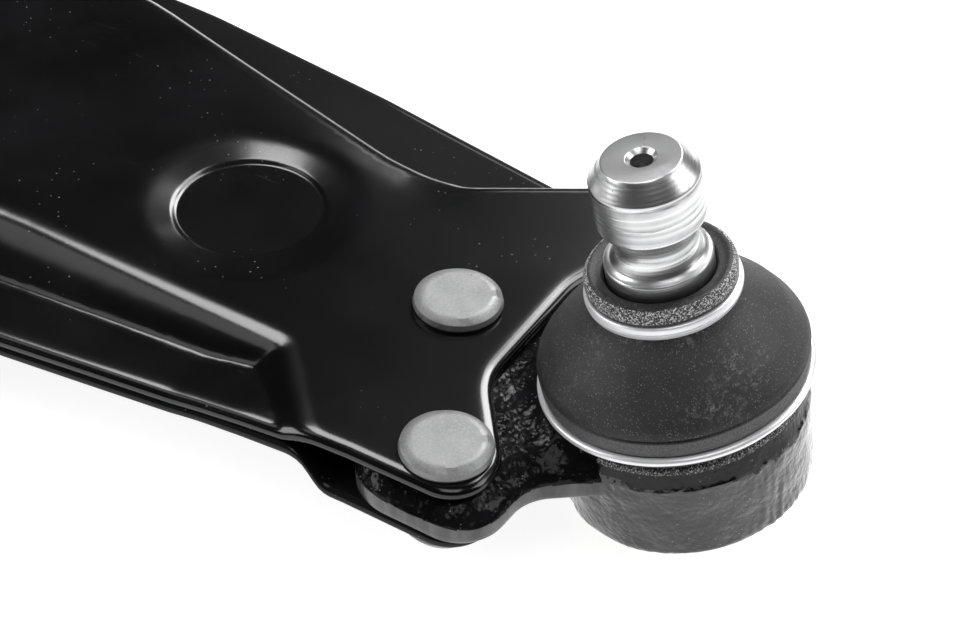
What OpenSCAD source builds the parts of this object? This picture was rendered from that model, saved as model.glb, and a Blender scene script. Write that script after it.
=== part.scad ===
// Lower control arm: two pressed sheets, a riveted ball joint and two rubber bushes.
// X runs towards the rear of the car, Y towards the wheel, Z up.
// The origin is the centre of the front bush's bore.

/* [Arm] */
// Distance from the bush line out to the ball joint
reach = 335; // [325:1:345]
// How far the ball joint sits behind the front bush
ball_x = 25; // [20:1:30]
// Distance from the front bush back to the rear bush
bush_spacing = 250; // [246:1:256]
// Height of the arm's flat top above the front bush axis
deck_z = 5; // [4:0.5:6]
// Thickness of each pressed sheet
sheet_t = 2.2; // [2:0.1:2.6]
// Drop from the flat top to the ledge along the rear edge
ledge_drop = 3; // [2:0.5:4]
// Depth of the box section inboard of the ball joint
box_depth = 20; // [18:1:22]

/* [Ball joint] */
// Lean of the stud towards the car, in degrees
kingpin_lean = 11; // [8:0.5:14]
// Lean of the stud towards the rear, in degrees
caster_lean = 5.6; // [2:0.2:8]
// Radius of the ball
ball_r = 14; // [13:0.5:14]
// Radius of the stud where the knuckle clamps it
stud_r = 9.5; // [9:0.25:10]
// Radius of the forged housing
housing_r = 23.4; // [22.8:0.2:24]
// Thickness of the forged flange between the sheets
flange_t = 8; // [7:0.5:9]
// Radius of a rivet head
rivet_head_r = 8.45; // [8:0.05:8.8]

/* [Front bush] */
// Outer radius of the welded tube
tube_r = 21; // [20:0.5:22]
// Length of the welded tube
tube_length = 46; // [42:1:50]
// Bolt bore radius of both bushes
bolt_bore_r = 6.1; // [5.1:0.5:6.1]

/* [Rear bush] */
// Outer radius of the welded eye
eye_r = 38; // [37:0.5:39]
// Height of the welded eye
eye_height = 40; // [38:1:42]
// Height of the steel core
core_height = 44; // [44:1:48]

/* [Hidden] */
$fn = 96;

// Heights of the sheets
deck_under = deck_z - sheet_t;
floor_top = deck_under - flange_t;
floor_under = floor_top - sheet_t;
ledge_top = deck_z - ledge_drop;
ledge_under = ledge_top - sheet_t;
box_under = deck_z - box_depth;

// Ball joint heights, measured along the stud from where its axis crosses the rivet heads
axis_z = deck_z + 1.4;
ball_h = -4.5;
housing_bottom_h = -22;
shoulder_h = 0.8;
housing_top_h = 5.5;
seat_r = 17.5;
seat_bottom_h = -19.3;
seat_top_h = ball_h + 7;
cap_r = 19.2;
cap_bottom_h = -21.4;
collar_bottom_h = 22.3;
collar_top_h = 27.2;
stud_top_h = 49.6;
stud_land_top_h = 46.4;
groove_r = 6;
groove_depth = 2.3;
groove_mid_h = 33.25;
ball_gap = 0.05;

// Rivets, placed from the ball joint: rear, middle and front
RIVETS = [[36.5, -26], [3, -44.5], [-36, -26]];
rivet_r = 5;
rivet_rim_h = 1.4;
rivet_chamfer = 1.14;

// Bushes
tube_wall = 3;
sleeve_wall = 1.5;
inner_r = 10;
inner_length = 56;
rubber_gap = 0.05;
eye_wall = 4;
core_neck_r = 10;
core_bulge_r = 18;
hub_r = 21;
hub_height = 24;
web_width = 18;
lining_t = 3.5;

// Weld beads: round ones on the tube and the eye, flat-bottomed ones along the sheets
weld_r = 2.2;
seam_bead = 2.4;

// Rounded outlines: each corner is [x, y, radius]
function unit(v) = v / norm(v);
function spot(p) = [p.x, p.y];
function arc(centre, from, turn, steps) =
    [for (i = [0:steps]) centre + [
        from.x * cos(turn * i / steps) - from.y * sin(turn * i / steps),
        from.x * sin(turn * i / steps) + from.y * cos(turn * i / steps)]];
function corner(a, b, c) =
    let (to_a = unit(spot(a) - spot(b)),
         to_c = unit(spot(c) - spot(b)),
         half = acos(to_a * to_c) / 2,
         centre = spot(b) + unit(to_a + to_c) * b[2] / sin(half),
         from = spot(b) + to_a * b[2] / tan(half) - centre,
         side = cross(to_a, to_c) > 0 ? -1 : 1,
         turn = side * (180 - 2 * half))
    b[2] == 0 ? [spot(b)] : arc(centre, from, turn, max(3, ceil(abs(turn) / 10)));
function rounded(p) =
    let (n = len(p))
    [for (i = [0:n - 1]) each corner(p[(i + n - 1) % n], p[i], p[(i + 1) % n])];
function by_ball(x, y, r) = [ball_x + x, reach + y, r];
function by_rear(x, y, r) = [bush_spacing + x, y, r];

// Edge of the top sheet round the ball joint, from the rear ear to the front waist
BALL_EDGE = [
    by_ball(45.8, -16.2, 7.5), by_ball(33.5, -16.3, 9), by_ball(16.5, -29.3, 16),
    by_ball(-16.5, -29.3, 16), by_ball(-33.5, -16.3, 9), by_ball(-45.8, -16.2, 7.5),
    by_ball(-47, -33, 9), by_ball(-28.5, -61, 8), by_ball(-30, -80, 40)];
// The front leg down to the front bush, and the crotch between the legs
LEG_EDGE = [
    by_ball(-49, -155, 80), [-25, 110, 60], [-22, 8, 0], [22, 8, 0],
    [30, 66, 30], [110, 34, 90], by_rear(-20, -26, 0)];
// Fold from the flat top down to the ledge along the rear side
FOLD = [
    by_rear(0, 26, 0), [190, 46, 70], [110, 112, 90], [53, 190, 60],
    by_ball(29, -65, 4), by_ball(47, -48, 2)];
// Flat top of the upper sheet
DECK = concat(BALL_EDGE, LEG_EDGE, FOLD, [by_ball(45.4, -34, 0)]);
// Whole width, out to the rear edge of the ledge
FOOTPRINT = concat(BALL_EDGE, LEG_EDGE, [
    by_rear(12, 34, 0), [203, 66, 80], [130, 132, 100], [80, 195, 90],
    by_ball(48, -71, 60), by_ball(46, -40, 0)]);
// Everything behind the fold
LEDGE_SIDE = concat(FOLD, [by_ball(90, -48, 0), by_rear(60, 300, 0), by_rear(60, 26, 0)]);
// Lower sheet: it also stands out past the walls along the front and the crotch
FLOOR = concat(
    [for (i = [0:5]) BALL_EDGE[i]],
    [by_ball(-49, -100, 60), by_ball(-59, -160, 80), [-38, 100, 50], [-26, 8, 0],
     [26, 8, 0], [34, 58, 30], [110, 27, 90], by_rear(-20, -32, 0)],
    FOLD, [by_ball(45.6, -34, 0)]);
// Deep part of the lower sheet
TRAY = [
    by_ball(-16, -76, 14), by_ball(-36, -155, 60), [-11, 100, 60], [-9, 8, 0], [9, 8, 0],
    [22, 82, 40], [112, 48, 90], by_rear(-20, -12, 0), by_rear(0, 14, 0), [184, 36, 60],
    [104, 100, 80], [42, 186, 50], by_ball(17, -76, 14)];
// Forged flange between the sheets
FLANGE = [
    by_ball(47.6, -13.2, 9), by_ball(31, -12.6, 9), by_ball(20, 8, 0), by_ball(-20, 8, 0),
    by_ball(-31, -12.6, 9), by_ball(-47.6, -13.2, 9), by_ball(-47.6, -37, 11), by_ball(-12, -58, 12),
    by_ball(17, -58, 12), by_ball(47.4, -37.5, 11)];

// Round the ball joint the forging lies between the sheets and they have no walls
OPEN_END = [
    by_ball(-90, -62, 0), by_ball(0, -62, 0), by_ball(12, -50, 0), by_ball(90, -50, 0),
    by_ball(90, 60, 0), by_ball(-90, 60, 0)];

module shape(outline) {
    polygon(rounded(outline));
}

module between(bottom, top) {
    translate([0, 0, bottom])
        linear_extrude(top - bottom)
            children();
}

// Plan of the rear side, reaching just past the fold's wall
module behind_fold() {
    offset(delta = sheet_t + 0.4) shape(LEDGE_SIDE);
}

// One sheet of the ledge, resting on the fold's wall
module ledge(bottom) {
    between(bottom, bottom + sheet_t)
        difference() {
            intersection() {
                shape(FOOTPRINT);
                behind_fold();
            }
            shape(OPEN_END);
        }
}

module along_x(r, length) {
    rotate([0, 90, 0])
        cylinder(r = r, h = length, center = true);
}

module upright(r, height) {
    translate([bush_spacing, 0, 0])
        cylinder(r = r, h = height, center = true);
}

module on_stud_axis() {
    translate([ball_x, reach, axis_z])
        rotate([kingpin_lean, caster_lean, 0])
            children();
}

module at_rivets(z) {
    for (p = RIVETS)
        translate([ball_x + p.x, reach + p.y, z])
            children();
}

// Everything the sheets are cut away for
module sheet_cuts() {
    along_x(tube_r, tube_length + 40);
    upright(eye_r, 100);
    at_rivets(-50) cylinder(r = rivet_r, h = 100);
}

module upper_shell() {
    color("#17181a")
        difference() {
            union() {
                difference() {
                    between(floor_top, deck_z) shape(DECK);
                    between(floor_top - 1, deck_under) {
                        offset(delta = -sheet_t) shape(DECK);
                        shape(OPEN_END);
                    }
                    between(floor_top - 1, ledge_under) behind_fold();
                }
                ledge(ledge_under);
            }
            sheet_cuts();
        }
}

module lower_shell() {
    color("#1b1c1f")
        difference() {
            union() {
                difference() {
                    between(floor_under, ledge_under) shape(FLOOR);
                    between(floor_top, ledge_under + 1) {
                        offset(delta = -sheet_t) shape(FLOOR);
                        shape(OPEN_END);
                        difference() {
                            translate([-100, -100]) square([500, 500]);
                            behind_fold();
                        }
                    }
                    between(floor_under - 1, floor_top + 1)
                        offset(delta = -1) shape(TRAY);
                }
                difference() {
                    between(box_under, floor_top - 1) shape(TRAY);
                    between(box_under + sheet_t, floor_top)
                        offset(delta = -sheet_t) shape(TRAY);
                }
                ledge(ledge_under - sheet_t);
            }
            sheet_cuts();
        }
}

module front_tube() {
    color("#1a1a1c")
        difference() {
            along_x(tube_r, tube_length);
            along_x(tube_r - tube_wall, tube_length + 2);
        }
}

module front_bush_sleeve() {
    outer = tube_r - tube_wall;
    color("silver")
        difference() {
            along_x(outer, tube_length + 2);
            along_x(outer - sleeve_wall, tube_length + 4);
        }
}

module front_bush_rubber() {
    outer = tube_r - tube_wall - sleeve_wall;
    color("#202020")
        difference() {
            union() {
                along_x(outer, tube_length);
                along_x(inner_r + 4, tube_length + 4);
            }
            along_x(inner_r + rubber_gap, tube_length + 8);
        }
}

module front_bush_inner() {
    color("silver")
        difference() {
            along_x(inner_r, inner_length);
            along_x(bolt_bore_r, inner_length + 2);
        }
}

module rear_eye() {
    color("#1a1a1c")
        difference() {
            upright(eye_r, eye_height);
            upright(eye_r - eye_wall, eye_height + 2);
        }
}

module rear_bush_sleeve() {
    outer = eye_r - eye_wall;
    color("silver")
        difference() {
            upright(outer, eye_height + 2);
            upright(outer - 2, eye_height + 4);
        }
}

module rear_bush_rubber() {
    outer = eye_r - eye_wall - 2;
    color("#202020")
        difference() {
            union() {
                difference() {
                    upright(outer, eye_height - 2);
                    upright(outer - lining_t, eye_height);
                }
                upright(hub_r, hub_height);
                intersection() {
                    upright(outer, hub_height);
                    translate([bush_spacing, 0, 0])
                        cube([3 * outer, web_width, hub_height], center = true);
                }
            }
            translate([bush_spacing, 0, 0])
                sphere(r = core_bulge_r + rubber_gap);
        }
}

module rear_bush_core() {
    color("silver")
        difference() {
            union() {
                upright(core_neck_r, core_height);
                translate([bush_spacing, 0, 0])
                    sphere(r = core_bulge_r);
            }
            upright(bolt_bore_r, core_height + 2);
        }
}

module ball_joint_housing() {
    color("#26272a")
        difference() {
            union() {
                on_stud_axis() {
                    translate([0, 0, housing_bottom_h])
                        cylinder(r = housing_r, h = shoulder_h - housing_bottom_h);
                    translate([0, 0, shoulder_h - 1])
                        cylinder(r = housing_r - 1.8, h = housing_top_h - shoulder_h + 1);
                }
                between(floor_top, deck_under) shape(FLANGE);
            }
            on_stud_axis() {
                translate([0, 0, housing_bottom_h - 5])
                    cylinder(r = seat_r, h = seat_top_h - housing_bottom_h + 5);
                translate([0, 0, housing_bottom_h - 5])
                    cylinder(r = cap_r, h = seat_bottom_h - housing_bottom_h + 5);
                translate([0, 0, seat_top_h - 0.1])
                    cylinder(r1 = 12.4, r2 = 14.6, h = 4);
            }
            at_rivets(-50) cylinder(r = rivet_r, h = 100);
        }
}

module ball_seat() {
    color("ivory")
        on_stud_axis()
            difference() {
                translate([0, 0, seat_bottom_h])
                    cylinder(r = seat_r, h = seat_top_h - seat_bottom_h);
                translate([0, 0, ball_h])
                    sphere(r = ball_r + ball_gap);
            }
}

module closing_cap() {
    color("silver")
        on_stud_axis()
            translate([0, 0, cap_bottom_h])
                cylinder(r = cap_r, h = seat_bottom_h - cap_bottom_h);
}

module ball_stud() {
    neck_r = 7.5;
    neck_h = 14;
    base_h = 22;
    color("lightgray")
        on_stud_axis()
            difference() {
                union() {
                    translate([0, 0, ball_h]) sphere(r = ball_r);
                    cylinder(r = neck_r, h = neck_h);
                    translate([0, 0, neck_h])
                        cylinder(r1 = neck_r, r2 = stud_r, h = base_h - neck_h);
                    translate([0, 0, base_h])
                        cylinder(r = stud_r, h = stud_land_top_h - base_h);
                    translate([0, 0, stud_land_top_h])
                        cylinder(r1 = stud_r, r2 = 6.8, h = stud_top_h - stud_land_top_h);
                }
                translate([0, 0, groove_mid_h])
                    rotate_extrude()
                        translate([stud_r + groove_r - groove_depth, 0])
                            circle(r = groove_r);
                translate([0, 0, stud_top_h - 5]) cylinder(r = 1.9, h = 6);
                translate([0, 0, ball_h - ball_r - 1]) cylinder(r = 8, h = 2.4);
            }
}

module boot() {
    outside = [
        [23.9, 1.1], [24.4, 5], [24.4, 7], [23.2, 10.2], [20.8, 13.8], [17.6, 17.4],
        [14.8, 20.2], [13.2, 22]];
    inside = [
        [10.4, 22], [12.2, 19.6], [15.4, 16], [18.6, 12.4], [21, 9], [22, 6.4], [21.7, 1.1]];
    color("#2c2d2f")
        on_stud_axis()
            difference() {
                rotate_extrude() polygon(concat(outside, inside));
                translate([0, 0, 3.1])
                    rotate_extrude()
                        translate([24.5, 0])
                            circle(r = 0.9);
            }
}

module boot_collar() {
    color("#2c2d2f")
        on_stud_axis()
            difference() {
                union() {
                    translate([0, 0, collar_bottom_h])
                        cylinder(r = 12.4, h = collar_top_h - collar_bottom_h);
                    translate([0, 0, 23.9])
                        cylinder(r = 13.3, h = collar_top_h - 23.9);
                }
                translate([0, 0, collar_bottom_h - 1])
                    cylinder(r = stud_r + 0.3, h = 10);
            }
}

module boot_top_ring() {
    color("white")
        on_stud_axis()
            difference() {
                translate([0, 0, collar_bottom_h]) cylinder(r = 13.5, h = 1.6);
                translate([0, 0, collar_bottom_h - 1]) cylinder(r = 12.4, h = 4);
            }
}

module boot_bottom_ring() {
    color("white")
        on_stud_axis()
            translate([0, 0, 3.1])
                rotate_extrude()
                    translate([24.5, 0])
                        circle(r = 0.9);
}

module rivets() {
    rim_z = deck_z + rivet_rim_h;
    color("gray")
        at_rivets(0) {
            translate([0, 0, floor_under])
                cylinder(r = rivet_r, h = deck_z - floor_under);
            translate([0, 0, deck_z])
                cylinder(r = rivet_head_r, h = rivet_rim_h);
            translate([0, 0, rim_z])
                cylinder(r1 = rivet_head_r, r2 = rivet_head_r - rivet_chamfer, h = rivet_chamfer);
            translate([0, 0, floor_under - 3.4])
                cylinder(r1 = 6, r2 = rivet_head_r, h = 3.4);
        }
}

// Round weld beads where each sheet meets the tube and the eye
module front_tube_weld() {
    color("#222326")
        difference() {
            for (z = [deck_z, box_under])
                translate([0, sqrt(tube_r * tube_r - z * z) + 0.6, z])
                    along_x(weld_r, z > 0 ? 40 : 16);
            along_x(tube_r, tube_length);
            translate([-tube_length / 2, 0, box_under])
                cube([tube_length, 2 * tube_r, deck_z - box_under]);
        }
}

module rear_eye_weld() {
    color("#222326")
        translate([bush_spacing, 0, deck_z])
            difference() {
                rotate([0, 0, 96])
                    rotate_extrude(angle = 108)
                        translate([eye_r, 0])
                            circle(r = weld_r);
                cylinder(r = eye_r, h = 20, center = true);
                translate([-100, -100, -20])
                    cube([200, 200, 20]);
            }
}

// Bead that runs round the outside of an outline
module seam(outline, bottom) {
    difference() {
        between(bottom, bottom + seam_bead)
            intersection() {
                difference() {
                    offset(delta = seam_bead) shape(outline);
                    shape(outline);
                }
                children();
            }
        along_x(tube_r + 2, tube_length + 40);
        upright(eye_r + 1, 100);
    }
}

module front_seam_weld() {
    color("#222326")
        seam(DECK, floor_top)
            translate([-100, 36])
                square([100, 226]);
}

module crotch_seam_weld() {
    color("#222326")
        seam(DECK, floor_top)
            polygon([[12, 0], [12, 60], [60, 60], [240, 0], [240, -60], [60, 0]]);
}

module rear_seam_weld() {
    color("#222326")
        seam(FOOTPRINT, ledge_under - seam_bead / 2)
            polygon([[86, 200], [160, 200], [300, 80], [300, 20], [200, 50], [86, 160]]);
}

upper_shell();
lower_shell();
front_tube();
front_bush_sleeve();
front_bush_rubber();
front_bush_inner();
rear_eye();
rear_bush_sleeve();
rear_bush_rubber();
rear_bush_core();
ball_joint_housing();
ball_seat();
closing_cap();
ball_stud();
boot();
boot_collar();
boot_top_ring();
boot_bottom_ring();
rivets();
front_tube_weld();
rear_eye_weld();
front_seam_weld();
crotch_seam_weld();
rear_seam_weld();
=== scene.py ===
import bpy
import math
import bmesh
import numpy as np
from mathutils import Matrix, Vector, noise
from mathutils.geometry import delaunay_2d_cdt


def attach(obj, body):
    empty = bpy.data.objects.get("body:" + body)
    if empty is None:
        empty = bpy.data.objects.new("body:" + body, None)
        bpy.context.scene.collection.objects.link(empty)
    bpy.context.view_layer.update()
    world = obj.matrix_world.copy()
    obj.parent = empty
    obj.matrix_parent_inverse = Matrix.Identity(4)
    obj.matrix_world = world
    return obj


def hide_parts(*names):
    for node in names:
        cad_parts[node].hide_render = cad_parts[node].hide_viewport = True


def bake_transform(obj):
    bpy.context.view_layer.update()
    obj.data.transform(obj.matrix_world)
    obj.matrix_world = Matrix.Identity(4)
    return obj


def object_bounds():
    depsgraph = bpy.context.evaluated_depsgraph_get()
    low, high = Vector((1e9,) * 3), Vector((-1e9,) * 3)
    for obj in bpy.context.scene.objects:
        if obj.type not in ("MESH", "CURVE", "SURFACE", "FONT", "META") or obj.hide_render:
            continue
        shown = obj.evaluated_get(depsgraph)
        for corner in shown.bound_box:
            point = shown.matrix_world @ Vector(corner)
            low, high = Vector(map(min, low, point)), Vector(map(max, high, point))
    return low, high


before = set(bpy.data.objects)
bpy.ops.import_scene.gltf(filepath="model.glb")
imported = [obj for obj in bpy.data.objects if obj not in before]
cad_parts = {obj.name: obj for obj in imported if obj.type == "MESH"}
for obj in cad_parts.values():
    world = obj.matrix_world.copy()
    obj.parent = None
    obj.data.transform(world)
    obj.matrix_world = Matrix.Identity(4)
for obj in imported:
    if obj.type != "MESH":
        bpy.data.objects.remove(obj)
LOW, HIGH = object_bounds()

# ---------------------------------------------------------------- sizes, in millimetres, as in the CAD
REACH, BALL_X, REAR_X = 335.0, 25.0, 250.0  # the ball joint's and the rear bush's places from the front bush
DECK_Z, FLOOR_Z, SHEET = 5.0, -5.2, 2.2  # the tops of the upper and lower sheets, and their thickness
TUBE_R, TUBE_HALF = 21.0, 23  # the front tube
EYE_R, EYE_CUT_R, EYE_HALF = 38.0, 36, 20  # the rear eye, and the arc that the sheets are cut to round it
BORE_R, CORE_R = 6.1, 10  # the inner tubes of both bushes
BULGE_R = 18  # the round part of the rear bush's core
BALL_R, BALL_H, PIN_R = 14, -4.5, 9.5  # the stud's ball, its height on the stud's axis, and the pin
GROOVE_R, GROOVE_H, GROOVE_MID_R = 6, 33.25, 13.2  # the pinch bolt's groove
RING_R, RING_H = 23.95, 3.1  # the split wire round the boot's foot
DIMPLE_Y = REACH - 93.5
DIMPLE_CREASE = (13.4, 13.9, 14.3, 14.7, 15.1, 15.5, 16.0, 16.7)  # circles of points across its crease
BEND_R = 3.5  # the turned-down front edge of the upper sheet
GRID = 1.0  # the spacing of the sheets' points where there is detail
STUD = (Matrix.Translation((0.025, 0.335, 0.0064)) @ Matrix.Rotation(math.radians(5.6), 4, "Y")
        @ Matrix.Rotation(math.radians(11), 4, "X"))
FRONT = Matrix.Rotation(math.radians(90), 4, "Y")
REAR = Matrix.Translation((0.25, 0, 0))
FLAT = Matrix.Identity(4)


def by_ball(x, y, r):
    return (BALL_X + x, REACH + y, r)


def by_rear(x, y, r):
    return (REAR_X + x, y, r)


BALL_EDGE = [by_ball(45.8, -16.2, 7.5), by_ball(33.5, -16.3, 9), by_ball(16.5, -29.3, 16),
             by_ball(-16.5, -29.3, 16), by_ball(-33.5, -16.3, 9), by_ball(-45.8, -16.2, 7.5),
             by_ball(-47, -33, 9), by_ball(-28.5, -61, 8), by_ball(-30, -80, 40)]
FOLD = [by_rear(0, 26, 0), (190, 46, 70), (110, 112, 90), (53, 190, 60),
        by_ball(29, -65, 4), by_ball(47, -48, 2)]
LEDGE_SIDE = FOLD + [by_ball(90, -48, 0), by_rear(60, 300, 0), by_rear(60, 26, 0)]
EYE_ARC = [(REAR_X + EYE_CUT_R * math.cos(math.radians(a)), EYE_CUT_R * math.sin(math.radians(a)), 0)
           for a in range(214, 70, -6)]
REAR_EDGE = [(203, 66, 80), (130, 132, 100), (80, 195, 90), by_ball(48, -71, 60)]
UPPER = BALL_EDGE + [by_ball(-49, -155, 80), (-25, 110, 60), (-22, 20, 0), (22, 20, 0),
                     (30, 66, 30), (110, 34, 90)] + EYE_ARC + REAR_EDGE + [by_ball(46, -40, 0)]
LOWER = [by_ball(47.1, -15.2, 8), by_ball(33.5, -15.5, 9)] + BALL_EDGE[2:6] + [
    by_ball(-47.6, -45, 30), by_ball(-55.4, -98, 80), by_ball(-60.4, -146, 90), (-37.8, 100, 50),
    (-22.5, 20, 0), (22.5, 20, 0), (34, 58, 30), (110, 27, 90)] + EYE_ARC + REAR_EDGE + [by_ball(47, -40, 0)]
TRAY = [by_ball(-16, -76, 14), by_ball(-36, -155, 60), (-11, 100, 60), (-9, 8, 0), (9, 8, 0),
        (22, 82, 40), (112, 48, 90), by_rear(-20, -12, 0), by_rear(0, 14, 0), (184, 36, 60),
        (104, 100, 80), (42, 186, 50), by_ball(17, -76, 14)]
FLANGE = [by_ball(47.6, -13.2, 9), by_ball(31, -12.6, 9), by_ball(14, 9, 0), by_ball(-14, 9, 0),
          by_ball(-31, -12.6, 9), by_ball(-47.6, -13.2, 9), by_ball(-47.6, -37, 11), by_ball(-12, -58, 12),
          by_ball(17, -58, 12), by_ball(47.4, -37.5, 11)]
RIVETS = [(36.5, -26), (3, -44.5), (-36, -26)]


# ---------------------------------------------------------------- outlines
def rounded(points, fine=5):
    """The outline through (x, y, corner radius) points, with each corner as an arc of fine-degree steps."""
    out = []
    for i, (x, y, r) in enumerate(points):
        b = np.array([x, y], float)
        if r == 0:
            out.append(b)
            continue
        a = np.array(points[i - 1][:2], float)
        c = np.array(points[(i + 1) % len(points)][:2], float)
        ta, tc = (a - b) / np.linalg.norm(a - b), (c - b) / np.linalg.norm(c - b)
        half = math.acos(max(-1, min(1, float(ta @ tc)))) / 2
        mid = ta + tc
        centre = b + mid / np.linalg.norm(mid) * r / math.sin(half)
        start = b + ta * r / math.tan(half) - centre
        turn = (-1 if ta[0] * tc[1] - ta[1] * tc[0] > 0 else 1) * (math.pi - 2 * half)
        steps = max(2, math.ceil(abs(math.degrees(turn)) / fine))
        for k in range(steps + 1):
            t = turn * k / steps
            out.append(centre + [start[0] * math.cos(t) - start[1] * math.sin(t),
                                 start[0] * math.sin(t) + start[1] * math.cos(t)])
    return np.array(out)


def dense(path, step, closed=True):
    """The path with its long parts cut into steps, and points that nearly touch left out."""
    out = []
    count = len(path) if closed else len(path) - 1
    for i in range(count):
        a, b = path[i], path[(i + 1) % len(path)]
        parts = max(1, round(float(np.linalg.norm(b - a)) / step))
        out += [a + (b - a) * k / parts for k in range(parts)]
    if not closed:
        out.append(path[-1])
    out = np.array(out)
    keep = np.linalg.norm(out - np.roll(out, 1, 0), axis=1) > step * 0.12
    return out[keep] if closed else out


def inward(ring):
    """At each point, the way inside, long enough to move both neighbouring sides by 1."""
    ahead, back = np.roll(ring, -1, 0) - ring, ring - np.roll(ring, 1, 0)
    ahead /= np.linalg.norm(ahead, axis=1)[:, None]
    back /= np.linalg.norm(back, axis=1)[:, None]
    n1, n2 = np.stack([-ahead[:, 1], ahead[:, 0]], 1), np.stack([-back[:, 1], back[:, 0]], 1)
    return (n1 + n2) / (1 + np.maximum(-0.3, (n1 * n2).sum(1)))[:, None]


def anticlockwise(ring):
    area = (ring[:, 0] * np.roll(ring[:, 1], -1) - ring[:, 1] * np.roll(ring[:, 0], -1)).sum()
    return ring if area > 0 else ring[::-1].copy()


def inside_by(p, ring):
    """Distance from each point to the ring, positive inside it."""
    out = np.empty(len(p))
    a, b = ring, np.roll(ring, -1, 0)
    d = b - a
    for s in range(0, len(p), 1500):
        q = p[s:s + 1500, None]
        t = np.clip(((q - a) * d).sum(2) / (d * d).sum(1), 0, 1)
        gap = np.sqrt((((q - a) - t[..., None] * d) ** 2).sum(2)).min(1)
        cross = (a[:, 1] > q[..., 1]) != (b[:, 1] > q[..., 1])
        with np.errstate(divide="ignore", invalid="ignore"):
            at = a[:, 0] + (q[..., 1] - a[:, 1]) * d[:, 0] / d[:, 1]
        odd = (cross & (q[..., 0] < at)).sum(1) % 2 == 1
        out[s:s + 1500] = np.where(odd, gap, -gap)
    return out


def fill(ring, extra):
    """Triangles inside the ring through the extra points: the points, the ring's first, and the triangles."""
    points = [Vector(p) for p in ring] + [Vector(p) for p in extra]
    edges = [(i, (i + 1) % len(ring)) for i in range(len(ring))]
    verts, _, faces, origin, _, _ = delaunay_2d_cdt(points, edges, [], 1, 1e-5)
    every = [p[:] for p in points]
    place = np.empty(len(verts), int)
    for i, (v, o) in enumerate(zip(verts, origin)):
        place[i] = o[0] if o else len(every)
        if not o:
            every.append(v[:])
    every = np.array(every)
    return every, place[np.array(faces)]


def soft_ramp(x, w):
    """0 below -w, x above w, and a smooth bend between."""
    return np.where(x < -w, 0, np.where(x > w, x, (x + w) ** 2 / (4 * w)))


def step_up(x):
    """A smooth step from 0 at 0 to 1 at 1."""
    x = np.clip(x, 0, 1)
    return x * x * (3 - 2 * x)


def grain(x, y, z):
    return noise.noise(Vector((x, y, z)))


def wobble(p, scale, height, seed=0.0):
    return np.array([height * grain(x / scale, y / scale, seed) for x, y in p])


# ---------------------------------------------------------------- surfaces of the two sheets
FOLD_RING = rounded(LEDGE_SIDE, 6)
UPPER_EDGE = rounded(UPPER, 10)
UPPER_RING = anticlockwise(dense(rounded(UPPER), 1.1))
LOWER_RING = anticlockwise(dense(rounded(LOWER), 1.1))
TRAY_RING = rounded(TRAY, 6)
STEEP, SHALLOW = math.tan(math.radians(31)), math.tan(math.radians(25))


def ledge_depth(p):
    return np.interp(p[:, 1], [0, 60, 150, 210, 258, 273, 285, 300], [3, 3.6, 5.2, 5.8, 3.9, 2.5, 1.7, 1.4])


def ledge_end(p):
    """How far from the fold the ledge's wall meets its floor: half of it is shallow and half steep."""
    return 2 * ledge_depth(p) / (STEEP + SHALLOW)


def from_dimple(p):
    return np.hypot(p[:, 0] - BALL_X, p[:, 1] - DIMPLE_Y)


def upper_top(p):
    """The upper sheet's height: the ledge's two slopes, the dimple, and the dip along the front edge."""
    s = inside_by(p, FOLD_RING)
    end = ledge_end(p)
    z = DECK_Z - (SHALLOW * soft_ramp(s, 2.6) + (STEEP - SHALLOW) * soft_ramp(s - end / 2, 0.6)
                  - STEEP * soft_ramp(s - end, 0.6))
    r = from_dimple(p)
    z -= 0.19 * (soft_ramp(21.5 - r, 2.2) - soft_ramp(14.2 - r, 0.3))
    z -= 0.4 * (soft_ramp(15.0 - r, 0.3) - soft_ramp(14.2 - r, 0.3))
    front = inside_by(p, UPPER_EDGE)
    side = step_up((30 - p[:, 0] + 0.16 * p[:, 1]) / 20)
    z -= side * 0.10 * soft_ramp(13 - front, 6) * step_up((REACH - 58 - p[:, 1]) / 16)
    return z + wobble(p, 45, 0.16) + wobble(p, 15, 0.02, 5.0)


def lower_top(p):
    """The lower sheet's height: it rises to the upper sheet's ear, and the tray is pressed into it."""
    s = inside_by(p, FOLD_RING)
    end = ledge_end(p)
    v = p[:, 1] - REACH
    rise = (DECK_Z - ledge_depth(p) - SHEET - 0.1 - FLOOR_Z) * step_up((-40.5 - v) / 8.5)
    z = FLOOR_Z + rise * step_up((s - end + 8) / 8)
    t = inside_by(p, TRAY_RING)
    z -= 0.9 * (soft_ramp(t, 1.5) - soft_ramp(t - 5 / 0.9, 1.5))
    return z + wobble(p, 30, 0.06, 9.0)


# ---------------------------------------------------------------- mesh makers
def finish_mesh(name, verts, faces, place, material, body, nodes=(), angle=38, tidy=True):
    """Makes the piece from millimetres in the place's own frame, and says which body it rides."""
    mesh = bpy.data.meshes.new(name)
    turn, shift = np.array(place.to_3x3()), np.array(place.translation)
    at = np.asarray(verts, float) * 0.001 @ turn.T + shift
    mesh.from_pydata(at.tolist(), [], [tuple(map(int, f)) for f in faces])
    bm = bmesh.new()
    bm.from_mesh(mesh)
    if tidy:
        bmesh.ops.remove_doubles(bm, verts=bm.verts, dist=1e-6)
    bmesh.ops.recalc_face_normals(bm, faces=bm.faces)
    bm.to_mesh(mesh)
    bm.free()
    mesh.shade_smooth()
    mesh.set_sharp_from_angle(angle=math.radians(angle))
    mesh.materials.append(material)
    obj = bpy.data.objects.new(name, mesh)
    bpy.context.scene.collection.objects.link(obj)
    if body:
        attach(obj, body)
    if nodes:
        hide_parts(*nodes)
    return obj


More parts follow.
